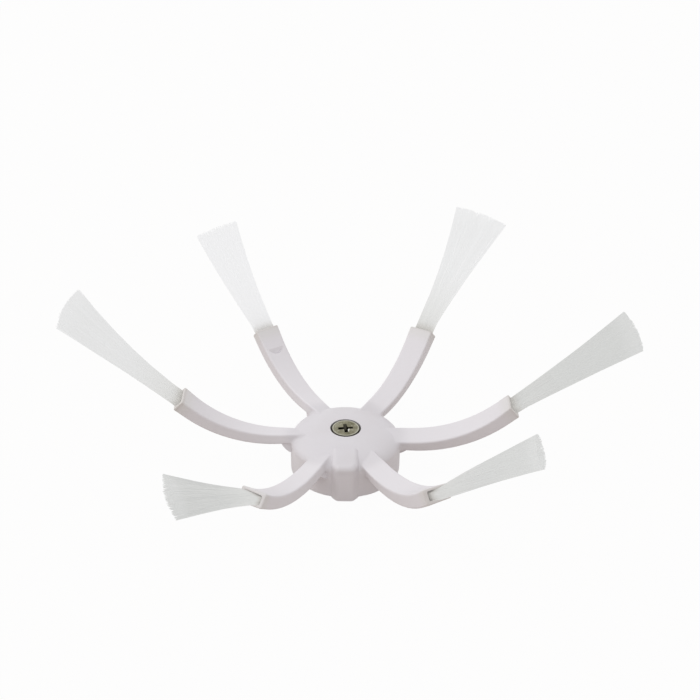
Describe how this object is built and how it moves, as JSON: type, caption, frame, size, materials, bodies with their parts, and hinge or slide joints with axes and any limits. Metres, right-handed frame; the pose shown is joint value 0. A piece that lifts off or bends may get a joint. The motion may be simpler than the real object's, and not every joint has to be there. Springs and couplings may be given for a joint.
{
  "type": "robot vacuum side brush",
  "caption": "White moulded side brush for a robot vacuum: curled arms round a domed hub, each with a tuft of clear bristle, and a countersunk cross-head screw.",
  "frame": {"origin": "on the hub's axis, in the plane of the skirt's rim that the brush stands on", "axes": "+Z along the hub's axis, from the rim to the screw head; +X out along the arm named 0"},
  "size_m": [0.1468, 0.1355, 0.0496],
  "materials": {
    "moulding": "satin moulded",
    "bristle": "clear nylon",
    "screw": "dull nickel plate",
    "anchor": "bright strip"
  },
  "bodies": {
    "root": {"arm_spider": "moulding", "hub_screw": "screw", "tuft_0": "bristle", "tuft_60": "bristle", "tuft_120": "bristle", "tuft_180": "bristle", "tuft_240": "bristle", "tuft_300": "bristle", "anchor_0": "anchor", "anchor_60": "anchor", "anchor_120": "anchor", "anchor_180": "anchor", "anchor_240": "anchor", "anchor_300": "anchor"}
  },
  "joints": []
}
